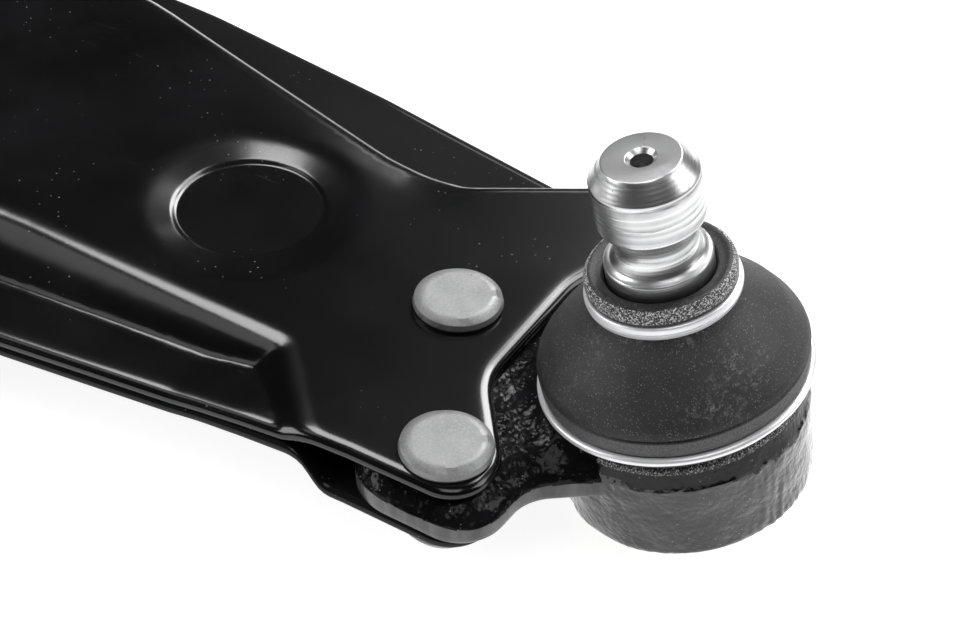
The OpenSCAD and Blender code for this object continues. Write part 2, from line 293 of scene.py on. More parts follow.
# Across a sheared edge from its top to its underside: how far inside the outline, and how far below the top
CUT = [(2.4, -0.02), (1.3, -0.12), (0.6, -0.35), (0.2, -0.7), (0.03, -1.0), (0, -1.35), (0, -1.75),
       (0.12, -2.08), (0.4, -2.2), (1.5, -2.2), (2.5, -2.2)]


def bent(depth):
    """The same for an edge that is turned down by depth."""
    arc = [(BEND_R - BEND_R * math.sin(a), -BEND_R * (1 - math.cos(a))) for a in (0.39, 0.79, 1.18, 1.57)]
    return arc + [(0, 0.4 - depth), (0.3, -depth), (1.9, -depth), (SHEET, 0.4 - depth), (SHEET, -3.9),
                  (2.4, -3.0), (2.9, -2.3)]


def grid_over(ring, step):
    """Points step apart over the box round the ring."""
    lo, hi = ring.min(0), ring.max(0)
    x, y = np.meshgrid(np.arange(lo[0], hi[0], step), np.arange(lo[1], hi[1], step))
    return np.stack((x, y), 2).reshape(-1, 2)


def strips(rows):
    """Faces between rows of point numbers that each run once round the edge."""
    return [np.column_stack([a, b, np.roll(b, -1), np.roll(a, -1)]) for a, b in zip(rows, rows[1:])]


def sheet_metal(name, ring, top, folded, depth, detail, material, nodes, crease=()):
    """A sheet that follows top. Its edge is sheared where folded is 0 and turned down by depth where it is 1."""
    n = inward(ring)
    inner = ring + BEND_R * n
    grid = grid_over(ring, GRID)
    index = np.rint(grid - ring.min(0)).astype(int)
    keep = detail(grid) | ((index[:, 0] % 3 == 0) & (index[:, 1] % 3 == 0))
    grid = grid[keep]
    grid = grid + 0.18 * np.stack([np.sin(grid[:, 1] * 7.1), np.cos(grid[:, 0] * 6.3)], 1)
    grid = grid[inside_by(grid, inner[::3]) > 0.9]
    if crease:
        r = from_dimple(grid)
        grid = grid[(r < crease[0] - 0.4) | (r > crease[-1] + 0.4)]
        a = np.linspace(0, 2 * math.pi, 180, endpoint=False)
        circles = [np.column_stack([BALL_X + q * np.cos(a), DIMPLE_Y + q * np.sin(a)]) for q in crease]
        grid = np.vstack([grid] + circles)
    flat, tri = fill(inner, grid)
    z = top(flat)
    count = len(flat)
    verts = [np.column_stack([flat, z]), np.column_stack([flat, z - SHEET])]
    faces = [tri, tri[:, ::-1] + count]
    k = folded(ring)
    cut, turn = np.array(CUT), np.array(bent(depth))
    rows = [np.arange(len(ring))]
    base = 2 * count
    for j in range(len(CUT)):
        d = (1 - k) * cut[j, 0] + k * turn[j, 0]
        dz = (1 - k) * cut[j, 1] + k * turn[j, 1]
        at = ring + n * d[:, None]
        verts.append(np.column_stack([at, top(at) + dz]))
        rows.append(base + np.arange(len(ring)))
        base += len(ring)
    rows.append(count + np.arange(len(ring)))
    every = [f for block in faces + strips(rows) for f in block.tolist()]
    return finish_mesh(name, np.vstack(verts), every, FLAT, material, "arm", nodes, 50, tidy=False)


def turned(name, profile, place, material, body, nodes=(), around=144, change=None, fine=15,
           step=None):
    """A closed profile of (radius, height, corner radius) turned about the place's own Z."""
    path = rounded(profile, fine)
    if step:
        path = dense(path, step)
    count = len(path)
    verts, faces = [], []
    for i in range(around):
        a = 2 * math.pi * i / around
        for r, h in path:
            if change:
                r, h = change(r, h, a)
            verts.append((r * math.cos(a), r * math.sin(a), h))
    for i in range(around):
        k = (i + 1) % around
        for j in range(count):
            m = (j + 1) % count
            faces.append((i * count + j, k * count + j, k * count + m, i * count + m))
    return finish_mesh(name, verts, faces, place, material, body, nodes)


def tube(name, inner, outer, half, rounding, place, material, body, nodes, around=144, change=None):
    """A turned tube, its corners rounded by one radius inside and another outside."""
    inside, outside = rounding
    profile = [(inner, -half, inside), (outer, -half, outside), (outer, half, outside), (inner, half, inside)]
    return turned(name, profile, place, material, body, nodes, around, change)


def bead(name, path, up, r, nodes, ripple=2.1, height=0.16, place=FLAT):
    """A weld bead along the path, with the rippled scales that a moving arc leaves."""
    path = np.asarray(path, float)
    count, ring = len(path), 18
    along = np.gradient(path, axis=0)
    along /= np.linalg.norm(along, axis=1)[:, None]
    length = np.concatenate([[0], np.cumsum(np.linalg.norm(np.diff(path, axis=0), axis=1))])
    verts, faces = [], []
    for i in range(count):
        w = np.asarray(up(path[i]), float)
        w -= along[i] * (w @ along[i])
        w /= np.linalg.norm(w)
        side = np.cross(along[i], w)
        ends = min(1.0, 0.25 + min(length[i], length[-1] - length[i]) / r)
        phase = length[i] + 0.5 * grain(length[i] / 6, r, 0)
        for j in range(ring):
            a = 2 * math.pi * j / ring
            lag = 0.9 * r * math.sin(a) ** 2
            scale = math.fmod((phase + lag) / ripple, 1.0)
            rr = r * ends * (1 + height * (scale ** 0.6 - 0.5) + 0.10 * grain(length[i] / 3, a, 2))
            rr = min(rr, r * 1.12)
            verts.append(path[i] + w * rr * math.cos(a) + side * rr * 1.15 * math.sin(a))
    for i in range(count - 1):
        for j in range(ring):
            m = (j + 1) % ring
            faces.append((i * ring + j, i * ring + m, (i + 1) * ring + m, (i + 1) * ring + j))
    faces += [tuple(range(ring))[::-1], tuple(range((count - 1) * ring, count * ring))]
    return finish_mesh(name, verts, faces, place, WELD, "arm", nodes, 60)


# ---------------------------------------------------------------- materials
class Shader:
    """A Principled material with procedural colour, roughness and bump, in object space."""

    def __init__(self, name, base, rough, metal=0.0, coat=0.0, specular=0.5):
        self.material = bpy.data.materials.new(name)
        self.material.use_nodes = True
        self.tree = self.material.node_tree
        self.main = self.tree.nodes["Principled BSDF"]
        self.coords = self.node("ShaderNodeTexCoord").outputs["Object"]
        self.main.inputs["Base Color"].default_value = (*base, 1)
        self.main.inputs["Roughness"].default_value = rough
        self.main.inputs["Metallic"].default_value = metal
        self.main.inputs["Coat Weight"].default_value = coat
        self.main.inputs["Coat Roughness"].default_value = 0.04
        self.main.inputs["Specular IOR Level"].default_value = specular
        self.base, self.rough, self.colour, self.roughness, self.normal = base, rough, None, None, None

    def node(self, kind, **settings):
        made = self.tree.nodes.new(kind)
        for key, value in settings.items():
            setattr(made, key, value)
        return made

    def link(self, a, b):
        self.tree.links.new(a, b)

    def noise(self, size, detail=4.0, rough=0.55, stretch=(1, 1, 1), distortion=0.0):
        """A noise value whose features are about size millimetres across."""
        scaled = self.node("ShaderNodeMapping")
        scaled.inputs["Scale"].default_value = [1000.0 / size / s for s in stretch]
        self.link(self.coords, scaled.inputs["Vector"])
        made = self.node("ShaderNodeTexNoise")
        made.inputs["Scale"].default_value = 1.0
        made.inputs["Detail"].default_value = detail
        made.inputs["Roughness"].default_value = rough
        made.inputs["Distortion"].default_value = distortion
        self.link(scaled.outputs["Vector"], made.inputs["Vector"])
        return made.outputs["Fac"]

    def cells(self, size, feature="F1"):
        """The distance to the middle of the nearest cell, cells being about size millimetres across."""
        scaled = self.node("ShaderNodeMapping")
        scaled.inputs["Scale"].default_value = [1000.0 / size] * 3
        self.link(self.coords, scaled.inputs["Vector"])
        made = self.node("ShaderNodeTexVoronoi", feature=feature)
        made.inputs["Scale"].default_value = 1.0
        self.link(scaled.outputs["Vector"], made.inputs["Vector"])
        return made.outputs["Distance"]

    def bands(self, size, axis, waver):
        """Turning lines about size millimetres apart along the axis."""
        scaled = self.node("ShaderNodeMapping")
        scaled.inputs["Scale"].default_value = [1000.0 / size / 6.2832 * 2] * 3
        self.link(self.coords, scaled.inputs["Vector"])
        made = self.node("ShaderNodeTexWave", bands_direction=axis)
        made.inputs["Scale"].default_value = 0.5
        made.inputs["Distortion"].default_value = waver
        made.inputs["Detail"].default_value = 2.0
        self.link(scaled.outputs["Vector"], made.inputs["Vector"])
        return made.outputs["Fac"]

    def span(self, value, low, high):
        """0 where the value is low and 1 where it is high."""
        made = self.node("ShaderNodeMapRange")
        made.inputs["From Min"].default_value = low
        made.inputs["From Max"].default_value = high
        self.link(value, made.inputs["Value"])
        return made.outputs["Result"]

    def times(self, a, b):
        made = self.node("ShaderNodeMath", operation="MULTIPLY", use_clamp=True)
        self.link(a, made.inputs[0])
        self.link(b, made.inputs[1])
        return made.outputs["Value"]

    def tint(self, mask, colour, rough=None):
        """Mixes colour, and roughness if given, over what is there by the mask."""
        mix = self.node("ShaderNodeMix", data_type="RGBA")
        if self.colour is None:
            mix.inputs["A"].default_value = (*self.base, 1)
        else:
            self.link(self.colour, mix.inputs["A"])
        mix.inputs["B"].default_value = (*colour, 1)
        self.link(mask, mix.inputs["Factor"])
        self.colour = mix.outputs["Result"]
        self.link(self.colour, self.main.inputs["Base Color"])
        if rough is not None:
            mix = self.node("ShaderNodeMix", data_type="FLOAT")
            if self.roughness is None:
                mix.inputs["A"].default_value = self.rough
            else:
                self.link(self.roughness, mix.inputs["A"])
            mix.inputs["B"].default_value = rough
            self.link(mask, mix.inputs["Factor"])
            self.roughness = mix.outputs["Result"]
            self.link(self.roughness, self.main.inputs["Roughness"])

    def bump(self, height, depth):
        """Raises the surface by the height value, with depth in millimetres."""
        made = self.node("ShaderNodeBump")
        made.inputs["Strength"].default_value = 1.0
        made.inputs["Distance"].default_value = depth * 0.001
        self.link(height, made.inputs["Height"])
        if self.normal:
            self.link(self.normal, made.inputs["Normal"])
        self.normal = made.outputs["Normal"]
        self.link(self.normal, self.main.inputs["Normal"])
        self.link(self.normal, self.main.inputs["Coat Normal"])


def gloss_black():
    s = Shader("gloss_black_paint", (0.0012, 0.0012, 0.0014), 0.28, coat=0.85, specular=0.02)
    s.main.inputs["Coat Roughness"].default_value = 0.15
    s.tint(s.span(s.noise(34, 5, 0.6), 0.42, 0.68), (0.0045, 0.0046, 0.0052), 0.33)
    s.bump(s.noise(26, 2), 0.03)
    s.bump(s.noise(2.2, 2), 0.006)
    s.bump(s.noise(0.6, 2), 0.0018)
    dust = s.times(s.span(s.cells(1.9), 0.10, 0.05), s.span(s.noise(17, 2), 0.54, 0.64))
    s.tint(dust, (0.16, 0.16, 0.16), 0.7)
    scratch = s.times(s.span(s.noise(0.8, 2, 0.5, (1, 16, 1)), 0.70, 0.74),
                      s.span(s.noise(30, 2), 0.52, 0.62))
    s.tint(scratch, (0.012, 0.012, 0.012), 0.5)
    return s.material


def strip_black():
    s = Shader("satin_black_paint", (0.004, 0.0041, 0.0045), 0.4, coat=0.3, specular=0.04)
    s.tint(s.span(s.noise(35, 3), 0.35, 0.7), (0.007, 0.0072, 0.0078), 0.48)
    s.bump(s.noise(14, 2), 0.03)
    s.bump(s.noise(1.2, 3), 0.006)
    dust = s.times(s.span(s.cells(1.4), 0.11, 0.05), s.span(s.noise(14, 2), 0.48, 0.6))
    s.tint(dust, (0.24, 0.24, 0.24), 0.75)
    return s.material


def forging(name, shine, lumps, pits, coat):
    """Black paint over a rough forged skin, its lumps and pits so many millimetres deep."""
    s = Shader(name, (0.0035, 0.0036, 0.004), 0.24, coat=coat, specular=shine)
    s.tint(s.span(s.noise(9, 4), 0.4, 0.68), (0.008, 0.008, 0.009), 0.36)
    s.bump(s.noise(4.0, 3, 0.6), lumps)
    s.bump(s.cells(1.1, "SMOOTH_F1"), pits)
    s.bump(s.noise(0.6, 3, 0.65), 0.05)
    # Light grey specks: grit in the paint, and also painted glints where the rough forged skin would sparkle
    grit_and_glints = s.times(s.span(s.cells(0.9), 0.17, 0.06), s.span(s.noise(4, 3), 0.5, 0.62))
    s.tint(grit_and_glints, (0.26, 0.26, 0.26), 0.6)
    return s.material


def flash_grey():
    s = Shader("trimmed_forging", (0.02, 0.0205, 0.022), 0.38, coat=0.3)
    s.tint(s.span(s.noise(3, 3, 0.5, (1, 1, 5)), 0.4, 0.65), (0.085, 0.085, 0.09), 0.45)
    s.bump(s.noise(2.2, 3, 0.6, (1, 1, 3)), 0.16)
    s.bump(s.noise(0.5, 2), 0.01)
    return s.material


def weld_black():
    s = Shader("painted_weld", (0.016, 0.0165, 0.018), 0.3, coat=0.4)
    s.tint(s.span(s.noise(3, 3), 0.42, 0.66), (0.04, 0.038, 0.036), 0.5)
    s.bump(s.noise(1.4, 4), 0.06)
    return s.material


def bare_steel():
    """Turned steel, its lines laid out in the stud's own frame."""
    s = Shader("turned_steel", (0.50, 0.50, 0.505), 0.30, metal=1.0)
    local = s.node("ShaderNodeMapping")
    away = STUD.inverted()
    local.inputs["Location"].default_value = away.translation
    local.inputs["Rotation"].default_value = away.to_euler()
    s.link(s.coords, local.inputs["Vector"])
    s.coords = local.outputs["Vector"]
    s.tint(s.span(s.noise(7, 4), 0.35, 0.7), (0.34, 0.345, 0.35), 0.4)
    s.tint(s.span(s.noise(1.2, 3, 0.5, (60, 60, 1)), 0.42, 0.62), (0.66, 0.66, 0.665), 0.26)
    s.bump(s.bands(0.33, "Z", 0.4), 0.006)
    s.bump(s.noise(0.5, 3, 0.6, (90, 90, 1)), 0.02)
    s.tint(s.span(s.noise(0.9, 4, 0.6, (14, 14, 1)), 0.56, 0.7), (0.22, 0.22, 0.23), 0.5)
    s.bump(s.noise(0.35, 2), 0.003)
    s.tint(s.span(s.noise(2.4, 5), 0.71, 0.76), (0.16, 0.12, 0.09), 0.6)
    return s.material


def rivet_steel():
    s = Shader("rivet_steel", (0.17, 0.171, 0.173), 0.42, metal=0.4, coat=0.05)
    s.tint(s.span(s.noise(5, 3), 0.35, 0.7), (0.22, 0.221, 0.223), 0.5)
    s.tint(s.span(s.noise(0.5, 4, 0.7), 0.45, 0.7), (0.26, 0.26, 0.26), 0.5)
    s.bump(s.noise(3.0, 2), 0.05)
    s.bump(s.noise(0.4, 3), 0.008)
    specks = s.times(s.span(s.cells(1.3), 0.14, 0.06), s.span(s.noise(3, 2), 0.5, 0.6))
    s.tint(specks, (0.05, 0.045, 0.04), 0.7)
    return s.material


def boot_rubber():
    s = Shader("boot_rubber", (0.013, 0.013, 0.0135), 0.55, specular=0.45)
    s.tint(s.span(s.noise(9, 4), 0.38, 0.7), (0.024, 0.024, 0.0245), 0.62)
    dust = s.times(s.span(s.cells(0.42), 0.28, 0.1), s.span(s.noise(1.8, 5, 0.7), 0.38, 0.6))
    s.tint(dust, (0.24, 0.24, 0.24), 0.85)
    scuff = s.times(s.span(s.noise(0.9, 5, 0.75), 0.5, 0.7), s.span(s.noise(14, 2), 0.58, 0.68))
    s.tint(scuff, (0.2, 0.2, 0.2), 0.8)
    s.bump(s.noise(0.9, 4), 0.07)
    s.bump(s.noise(0.3, 2), 0.02)
    return s.material


def dusty_rubber(name, dust_colour, low, high, shade):
    """Rubber with white dust where the noise is between low and high and above."""
    s = Shader(name, (shade, shade, shade), 0.6, specular=0.4)
    s.tint(s.span(s.noise(3, 4), 0.38, 0.7), (shade * 1.5,) * 3, 0.65)
    s.tint(s.span(s.noise(0.3, 3, 0.7, (1, 1, 1), 0.4), low, high), dust_colour, 0.85)
    s.bump(s.noise(0.7, 4), 0.07)
    return s.material


def bush_rubber():
    s = Shader("bush_rubber", (0.02, 0.02, 0.02), 0.6)
    s.tint(s.span(s.noise(9, 4), 0.4, 0.7), (0.04, 0.04, 0.04), 0.7)
    s.bump(s.noise(0.8, 4), 0.03)
    return s.material


def ring_steel():
    s = Shader("bright_ring", (0.86, 0.86, 0.87), 0.3, metal=0.45)
    s.tint(s.span(s.noise(6, 3), 0.4, 0.7), (0.76, 0.76, 0.78), 0.36)
    s.bump(s.noise(3, 2), 0.006)
    return s.material


def plated_steel():
    s = Shader("plated_steel", (0.52, 0.5, 0.44), 0.3, metal=1.0)
    s.tint(s.span(s.noise(8, 4), 0.4, 0.7), (0.42, 0.42, 0.40), 0.4)
    s.bump(s.bands(0.6, "Z", 0.5), 0.006)
    s.tint(s.span(s.noise(3, 5), 0.68, 0.75), (0.16, 0.12, 0.09), 0.6)
    return s.material


def cast_aluminium():
    s = Shader("cast_aluminium", (0.55, 0.55, 0.56), 0.42, metal=1.0)
    s.tint(s.span(s.noise(6, 4), 0.4, 0.7), (0.42, 0.42, 0.43), 0.52)
    s.bump(s.noise(0.7, 4), 0.03)
    return s.material


def seat_plastic():
    s = Shader("seat_plastic", (0.62, 0.6, 0.54), 0.45)
    s.tint(s.span(s.noise(6, 3), 0.4, 0.7), (0.5, 0.48, 0.43), 0.5)
    s.bump(s.noise(0.8, 3), 0.01)
    return s.material


GLOSS, STRIP, FLASH, WELD = gloss_black(), strip_black(), flash_grey(), weld_black()
# The housing below its trim line; the housing above it, a duller copy of the same paint that is painted shade;
# and the flange
FORGED = forging("painted_forging", 0.3, 0.34, 0.13, 0.7)
SHADED = forging("painted_forging_shaded", 0.08, 0.16, 0.12, 0.34)
RUGGED = forging("painted_forging_rugged", 0.02, 0.07, 0.18, 0.2)
STEEL, RIVET, BOOT, BUSH, RING = bare_steel(), rivet_steel(), boot_rubber(), bush_rubber(), ring_steel()
PLATED, CAST, SEAT = plated_steel(), cast_aluminium(), seat_plastic()
DUSTY = dusty_rubber("dusty_lip", (0.65, 0.65, 0.65), 0.50, 0.60, 0.02)
DUSTY_RIM = dusty_rubber("dusty_rim", (0.5, 0.5, 0.5), 0.52, 0.62, 0.008)
SKIRT = dusty_rubber("dusty_skirt", (0.14, 0.14, 0.14), 0.4, 0.7, 0.04)


# ---------------------------------------------------------------- the two pressed sheets
def upper_detail(p):
    """Where the upper sheet needs its points close together."""
    s = inside_by(p, FOLD_RING)
    far_side = (inside_by(p, UPPER_EDGE) < 22) & (p[:, 0] < 20) & (p[:, 1] > 150)
    return (np.abs(s) < 4) | (np.abs(s - ledge_end(p)) < 3) | far_side | (np.abs(from_dimple(p) - 18) < 7)


def lower_detail(p):
    s = inside_by(p, FOLD_RING) - ledge_end(p)
    t = inside_by(p, TRAY_RING)
    return (np.abs(t - 3) < 5) | ((s > -10) & (s < 2)) | (p[:, 1] > REACH - 66) & (p[:, 0] > BALL_X + 20)


def upper_folded(ring):
    """1 along the front edge and round the crotch, where the upper sheet is turned down, and 0 elsewhere."""
    front = (ring[:, 0] < 20) & (ring[:, 1] < REACH - 50)
    crotch = inside_by(ring, FOLD_RING) < -8
    end = step_up((REACH - 58 - ring[:, 1]) / 14)
    clear = (ring[:, 1] > TUBE_R - 0.5) & (np.hypot(ring[:, 0] - REAR_X, ring[:, 1]) >= EYE_CUT_R + 0.5)
    return np.where(front | crotch, end, 0) * clear


def flat_edge(ring):
    return np.zeros(len(ring))


sheet_metal("upper_sheet", UPPER_RING, upper_top, upper_folded, DECK_Z - FLOOR_Z - 0.2, upper_detail, GLOSS,
            ("upper_shell",), DIMPLE_CREASE)
sheet_metal("lower_sheet", LOWER_RING, lower_top, flat_edge, 5.0, lower_detail, STRIP,
            ("lower_shell",))


# ---------------------------------------------------------------- ball joint
def on_stud(point):
    """The point in millimetres in the stud's own frame."""
    return STUD.inverted() @ point * 1000


def trim_height(x, y):
    """The ragged line round the housing where its forging flash was trimmed off."""
    return -4.4 + 2.0 * grain(x / 9, y / 9, 40) + 1.3 * grain(x / 2.4, y / 2.4, 50) + 0.5 * grain(x, y, 60)


def rough_forging(r, h, a):
    """As forged: lumps, a ragged trim line near the top, and short upright wrinkles below it."""
    if r < 21:
        return r, h
    x, y = r * math.cos(a), r * math.sin(a)
    coarse = grain(x / 6, y / 6, h / 5)
    fine = grain(x / 2.6, y / 2.6, h / 2.2)
    patch = grain(x / 11, y / 11, h / 14 + 20)
    wrinkle = grain(x / 1.2, y / 1.2, h / 5 + 30) * max(0.0, patch + 0.15) * 2.4
    trim = trim_height(x, y)
    above = 1 / (1 + math.exp((trim - h) * 4))
    r += -0.4 + 0.24 * coarse + 0.07 * fine + 0.17 * (1 - above) * wrinkle
    r += 0.14 * math.exp(-((h - trim + 0.4) / 0.35) ** 2) - 0.16 * above
    return r, h + 0.05 * fine


def lean(obj, amount):
    """Slides each vertex sideways by amount(height on the stud axis), both in millimetres."""
    for vertex in obj.data.vertices:
        vertex.co += LEFT * 0.001 * amount(on_stud(vertex.co).z)


LEFT = Vector((0.52, -0.85, 0))
housing = turned(
    "ball_joint_body",
    [(17.5, -21.9, 0.2), (22.9, -21.9, 1.6), (23.6, -8, 0), (23.7, -5, 0.5), (22.9, -0.9, 0.9),
     (21.8, 0.1, 0.5), (21.6, 5.4, 0.5), (14.6, 5.4, 0.6), (12.5, 2.5, 0.3), (17.5, 2.5, 0), (17.5, -19.4, 0),
     (19.2, -19.6, 0), (19.2, -21.4, 0.2)],
    STUD, FORGED, "arm", ("ball_joint_housing",), 360, rough_forging, 12, 0.45)
housing.data.materials.append(SHADED)
housing.data.materials.append(DUSTY_RIM)
for face in housing.data.polygons:
    x, y, h = on_stud(face.center)
    rim = -1.5 < h < -0.1 and math.hypot(x, y) > 21.5
    # Above the trim line the duller copy paints the housing's shade
    face.material_index = 2 if rim else 1 if h > trim_height(x, y) else 0
lean(housing, lambda h: 0.4 + 0.9 * min(1.0, max(0.0, -h / 22)))


def flange():
    """The forged plate between the two sheets' ears, rough on top and with a trimmed band round its side."""
    ring = anticlockwise(dense(rounded(FLANGE), 0.9))
    n = inward(ring)
    inner = ring + 2.2 * n
    grid = grid_over(ring, 1.1)
    grid = grid[inside_by(grid, inner) > 0.6]
    flat, tri = fill(inner, grid)
    r = np.hypot(flat[:, 0] - BALL_X, flat[:, 1] - REACH)
    rough = wobble(flat, 6, 0.35) + wobble(flat, 2.4, 0.2, 3.0)
    edge = step_up((inside_by(flat, ring) - 1.5) / 5)
    top = 0.9 + 1.7 * edge + 2.6 * np.clip((30 - r) / 7, 0, 1) ** 2 + rough
    low = np.full(len(flat), -5.1)
    count = len(flat)
    verts = [np.column_stack([flat, top]), np.column_stack([flat, low])]
    faces = [tri, tri[:, ::-1] + count]
    rows, base = [np.arange(len(ring))], 2 * count
    side = [(1.5, 0.6), (0.9, 0.1), (0.5, -0.5), (0.25, -1.0), (0.05, -1.35), (0.0, -1.6), (0.0, -2.6),
            (0.0, -3.6), (0.05, -4.5), (0.3, -4.95), (0.9, -5.1)]
    for d, z in side:
        bumpy = 1.0 if z > -1.2 else 0.0
        wave = wobble(ring, 5, 0.5, 7.0) + wobble(ring, 2, 0.3, 8.0)
        wander = wobble(ring, 7, 0.7, 12.0) * (1 if -1.7 < z < 0 else 0)
        at = ring + n * (d + bumpy * wave)[:, None]
        verts.append(np.column_stack([at, z + wander + 0.3 * bumpy * wobble(ring, 3, 0.6, 4.0)]))
        rows.append(base + np.arange(len(ring)))
        base += len(ring)
    rows.append(count + np.arange(len(ring)))
    every = [f for block in faces + strips(rows) for f in block.tolist()]
    obj = finish_mesh("ball_joint_flange", np.vstack(verts), every, FLAT, RUGGED, "arm", (),
                      60, tidy=False)
    obj.data.materials.append(FLASH)
    for face in obj.data.polygons:
        if abs(face.normal.z) < 0.6 and -4.9 < face.center.z * 1000 < -1.5:
            face.material_index = 1


flange()
turned("stud",
       [(0, -17.65, 0)]
       + [(BALL_R * math.cos(math.radians(a)), BALL_H + BALL_R * math.sin(math.radians(a)), 0)
          for a in range(-70, 58, 6)]
       + [(7.5, 9.2, 2.5), (7.5, 14, 5), (PIN_R, 21.8, 2), (PIN_R, 29.2, 0.5)]
       + [(GROOVE_MID_R - GROOVE_R * math.sin(math.radians(a)),
           GROOVE_H - GROOVE_R * math.cos(math.radians(a)), 0) for a in range(53, 128, 5)]
       + [(PIN_R, 37.6, 0.5), (PIN_R, 46.3, 0.5), (6.9, 49.6, 0.35), (2.75, 49.6, 0.15), (1.95, 48.9, 0.1),
          (1.85, 42.5, 0.2), (0, 41.6, 0)],
       STUD, STEEL, "stud", ("ball_stud",), 192, None, 6)


def boot_skin(r, h, a):
    """Moulded rubber is never quite round."""
    return r + 0.12 * grain(r * math.cos(a) / 9, r * math.sin(a) / 9, h / 9), h


boot = turned("boot_bellows",
              [(21.8, 1.1, 0.2), (23.5, 1.1, 0.3), (23.8, 2.1, 0), (23.2, 2.5, 0.3), (23.2, 3.7, 0.3),
               (24.0, 4.3, 0.5), (24.1, 7.2, 0.1), (23.0, 7.65, 0.1), (24.3, 8.0, 0.15), (23.5, 9.6, 3),
               (20.8, 13.3, 9), (17.0, 16.8, 12), (13.9, 19.4, 3), (12.7, 21.3, 0.4), (10.5, 21.6, 0.3),
               (12.2, 19.0, 1), (15.4, 15.7, 4), (18.6, 12.2, 5), (21, 9, 2), (22, 6.4, 1)],
              STUD, BOOT, None, ("boot",), 220, boot_skin, 5, 0.6)
boot.data.materials.append(SKIRT)
for face in boot.data.polygons:
    face.material_index = 1 if 3.9 < on_stud(face.center).z < 7.7 else 0
lean(boot, lambda h: 0.5 * (1 - step_up(np.array([h / 20]))[0]))
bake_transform(boot)
collar = turned("boot_collar_lip",
                [(9.75, 22.3, 0.2), (12.4, 22.3, 0.2), (12.5, 23.6, 0.1), (13.2, 23.9, 0.4),
                 (13.4, 25.4, 0.8), (13.0, 26.9, 0.9), (12.0, 27.15, 0.8), (11.3, 26.75, 0.3),
                 (10.2, 26.6, 0.3), (9.75, 26.0, 0.2)],
                STUD, BOOT, "boot_top", ("boot_collar",), 220, boot_skin, 10, 0.35)
collar.data.materials.append(DUSTY)
for face in collar.data.polygons:
    x, y, h = on_stud(face.center)
    face.material_index = 1 if math.hypot(x, y) > 12.55 and h > 24.4 else 0
turned("boot_top_band",
       [(12.2, 21.3, 0.1), (13.6, 21.3, 0.5), (13.85, 22.4, 0.15), (13.72, 22.55, 0.05), (13.85, 22.7, 0.15),
        (13.6, 23.8, 0.5), (12.2, 23.8, 0.1)],
       STUD, RING, "boot_top", ("boot_top_ring",), 200, None, 12)


def wire_ring():
    """The split wire round the boot's foot: one and a bit turns, its ends side by side."""
    count, ring = 260, 14
    verts, faces = [], []
    for i in range(count):
        turn = math.radians(372) * i / (count - 1) + math.radians(200)
        over = 0.9 * step_up(np.array([(i / (count - 1) - 0.955) / 0.03]))[0]
        end = min(1.0, 0.4 + min(i, count - 1 - i) * 0.3)
        for j in range(ring):
            a = 2 * math.pi * j / ring
            r = RING_R + 0.85 * end * math.cos(a) + 0.02 * grain(i / 7, 0, 0)
            verts.append((r * math.cos(turn), r * math.sin(turn), RING_H + over + 0.75 * end * math.sin(a)))
    for i in range(count - 1):
        for j in range(ring):
            m = (j + 1) % ring
            faces.append((i * ring + j, (i + 1) * ring + j, (i + 1) * ring + m, i * ring + m))
    faces += [tuple(range(ring)), tuple(range((count - 1) * ring, count * ring))[::-1]]
    ring = finish_mesh("boot_wire_ring", verts, faces, STUD, RING, "arm", ("boot_bottom_ring",),
                       50)
    lean(ring, lambda h: 0.45)


wire_ring()


def struck(r, h, a):
    """A hammered rivet is never quite round."""
    out = grain(math.cos(a) * 1.3, math.sin(a) * 1.3, h / 8)
    face_dents = grain(r * math.cos(a) / 3, r * math.sin(a) / 3, 4)
    return r * (1 + 0.006 * out), h + (0.05 * face_dents if h > 6 or h < -11 else 0)


for count, (x, y) in enumerate(RIVETS):
    turned(f"rivet_{count + 1}",
           [(0, 7.42, 0), (7.1, 7.45, 0.3), (8.25, 6.5, 0.35), (8.4, 5.5, 0.2), (8.1, 4.95, 0.1),
            (4.95, 4.8, 0),
            (4.95, -9.9, 0), (8.2, -10.0, 0.1), (8.3, -10.6, 0.3), (6.2, -13.2, 1.0), (0, -13.35, 0)],
           Matrix.Translation(((BALL_X + x) * 0.001, (REACH + y) * 0.001, 0)), RIVET, "arm",
           ("rivets",) if count == 0 else (), 96, struck, 12, 1.2)


# ---------------------------------------------------------------- bushes
def serrated(r, h, a):
    """Teeth on the end faces of the front bush's inner tube."""
    return (r, h + (0.25 * abs(math.sin(a * 18)) * math.copysign(1, -h) if abs(h) > 27.5 and r > 6.6 else 0))


tube("front_tube_body", 18, TUBE_R, TUBE_HALF, (0.4, 0.7), FRONT, GLOSS, "arm", ("front_tube",))
tube("front_sleeve_body", 16.5, 18, TUBE_HALF + 1, (0.3, 0.5), FRONT, PLATED, "arm", ("front_bush_sleeve",))
turned("front_rubber_body",
       [(10.05, -25, 0.4), (14, -25, 1.2), (14.6, -22, 1.2), (15.6, -22.2, 0.6), (16.5, -23, 0.2),
        (16.5, 23, 0.2), (15.6, 22.2, 0.6), (14.6, 22, 1.2), (14, 25, 1.2), (10.05, 25, 0.4)], FRONT, BUSH, "arm",
       ("front_bush_rubber",))
tube("front_inner_body", BORE_R, CORE_R, 28, (0.4, 0.6), FRONT, PLATED, "front_bush_core",
     ("front_bush_inner",), 216, serrated)
tube("rear_eye_body", 34, EYE_R, EYE_HALF, (0.4, 0.8), REAR, GLOSS, "arm", ("rear_eye",),
     200)
tube("rear_sleeve_body", 32, 34, EYE_HALF + 1, (0.3, 0.6), REAR, PLATED, "arm", ("rear_bush_sleeve",),
     200)
turned("rear_core_body",
       [(BORE_R, -22, 0.4), (CORE_R, -22, 0.6), (CORE_R, -15.0, 1.5)]
       + [(BULGE_R * math.cos(math.radians(a)), BULGE_R * math.sin(math.radians(a)), 0)
          for a in range(-52, 56, 4)]
       + [(CORE_R, 15.0, 1.5), (CORE_R, 22, 0.6), (BORE_R, 22, 0.4)],
       REAR, CAST, "rear_bush_centre", ("rear_bush_core",), 160)
